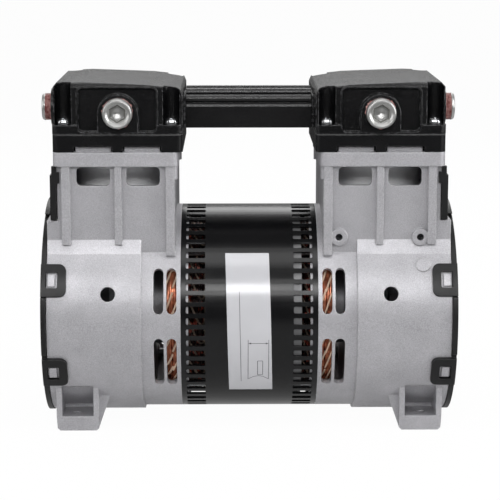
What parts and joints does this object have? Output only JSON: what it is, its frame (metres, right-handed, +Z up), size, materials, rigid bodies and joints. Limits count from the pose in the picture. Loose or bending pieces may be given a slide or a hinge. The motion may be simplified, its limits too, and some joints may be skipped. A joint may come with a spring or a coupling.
{
  "type": "rocking piston air compressor",
  "caption": "Twin-cylinder oilless rocking piston air compressor with a vented motor between two crankcases, finned manifold bar, fan guards and cast feet.",
  "frame": {"origin": "centre of the four foot holes on the mounting plane", "axes": "+X along the motor shaft, +Z up from the mounting plane, -Y the side with the port plugs"},
  "size_m": [0.2592, 0.1378, 0.2165],
  "materials": {
    "cast_body": "satin cast",
    "black_shell": "satin",
    "lamination": "dull",
    "copper_wire": "varnished",
    "lacing_cord": "varnished",
    "bearing_steel": "ground",
    "steel": "machined",
    "cage_aluminium": "cast",
    "eccentric_iron": "machined",
    "black_screw": "blackened",
    "rod_aluminium": "die cast",
    "cup_polymer": "filled polymer",
    "sleeve_aluminium": "hard anodised",
    "seal_rubber": "matt",
    "black_plate": "satin",
    "gasket": "fibre",
    "black_head": "gloss",
    "zinc_screw": "bright zinc",
    "black_bar": "textured",
    "plug_steel": "plated",
    "fan_plastic": "moulded",
    "guard_plastic": "moulded"
  },
  "bodies": {
    "housing": {"left_crankcase": "cast_body", "right_crankcase": "cast_body", "motor_shell": "black_shell", "stator_core": "lamination", "left_end_winding": "copper_wire", "right_end_winding": "copper_wire", "left_winding_lacing": "lacing_cord", "right_winding_lacing": "lacing_cord", "through_bolts": "steel", "left_bearing_outer": "bearing_steel", "right_bearing_outer": "bearing_steel", "wave_washer": "steel", "left_cylinder_sleeve": "sleeve_aluminium", "right_cylinder_sleeve": "sleeve_aluminium", "cylinder_seals": "seal_rubber", "left_valve_plate": "black_plate", "right_valve_plate": "black_plate", "intake_reeds": "steel", "exhaust_reeds": "steel", "reed_screws": "steel", "head_gaskets": "gasket", "left_head": "black_head", "right_head": "black_head", "head_screws": "zinc_screw", "manifold_bar": "black_bar", "manifold_seals": "seal_rubber", "front_port_plugs": "plug_steel", "side_port_plugs": "plug_steel", "left_fan_guard": "guard_plastic", "right_fan_guard": "guard_plastic", "lead_grommet": "seal_rubber"},
    "rotor": {"shaft": "steel", "rotor_core": "lamination", "rotor_cage": "cage_aluminium", "left_bearing_inner": "bearing_steel", "right_bearing_inner": "bearing_steel", "left_eccentric": "eccentric_iron", "right_eccentric": "eccentric_iron", "eccentric_screws": "black_screw", "left_rod_bearing_inner": "bearing_steel", "right_rod_bearing_inner": "bearing_steel", "left_fan": "fan_plastic", "right_fan": "fan_plastic", "fan_clips": "steel"},
    "left_rod": {"left_rod": "rod_aluminium", "left_rod_bearing_outer": "bearing_steel", "left_piston_cup": "cup_polymer", "left_cup_retainer": "rod_aluminium", "left_cup_screw": "steel"},
    "right_rod": {"right_rod": "rod_aluminium", "right_rod_bearing_outer": "bearing_steel", "right_piston_cup": "cup_polymer", "right_cup_retainer": "rod_aluminium", "right_cup_screw": "steel"},
    "left_main_balls": {"left_bearing_balls": "bearing_steel"},
    "right_main_balls": {"right_bearing_balls": "bearing_steel"},
    "left_pin_balls": {"left_rod_bearing_balls": "bearing_steel"},
    "right_pin_balls": {"right_rod_bearing_balls": "bearing_steel"}
  },
  "joints": [
    {"name": "rotor_spin", "type": "hinge", "parent": "housing", "child": "rotor", "pos_m": [0, 0, 0.0695], "axis": [1, 0, 0], "continuous": true},
    {"name": "left_rod_pivot", "type": "hinge", "parent": "rotor", "child": "left_rod", "pos_m": [-0.0798, 0, 0.074], "axis": [1, 0, 0], "continuous": true, "deforming": ["left_piston_cup"]},
    {"name": "right_rod_pivot", "type": "hinge", "parent": "rotor", "child": "right_rod", "pos_m": [0.0798, 0, 0.065], "axis": [1, 0, 0], "continuous": true, "deforming": ["right_piston_cup"]},
    {"name": "left_main_balls_roll", "type": "hinge", "parent": "housing", "child": "left_main_balls", "pos_m": [0, 0, 0.0695], "axis": [1, 0, 0], "continuous": true},
    {"name": "right_main_balls_roll", "type": "hinge", "parent": "housing", "child": "right_main_balls", "pos_m": [0, 0, 0.0695], "axis": [1, 0, 0], "continuous": true},
    {"name": "left_pin_balls_roll", "type": "hinge", "parent": "rotor", "child": "left_pin_balls", "pos_m": [-0.0798, 0, 0.074], "axis": [1, 0, 0], "continuous": true},
    {"name": "right_pin_balls_roll", "type": "hinge", "parent": "rotor", "child": "right_pin_balls", "pos_m": [0.0798, 0, 0.065], "axis": [1, 0, 0], "continuous": true}
  ],
  "couplings": [
    {"joint": "left_rod_pivot", "follows": "rotor_spin", "ratio": -1},
    {"joint": "right_rod_pivot", "follows": "rotor_spin", "ratio": -1},
    {"joint": "left_main_balls_roll", "follows": "rotor_spin", "ratio": 0.38175},
    {"joint": "right_main_balls_roll", "follows": "rotor_spin", "ratio": 0.38175},
    {"joint": "left_pin_balls_roll", "follows": "rotor_spin", "ratio": -0.6026},
    {"joint": "right_pin_balls_roll", "follows": "rotor_spin", "ratio": -0.6026}
  ]
}
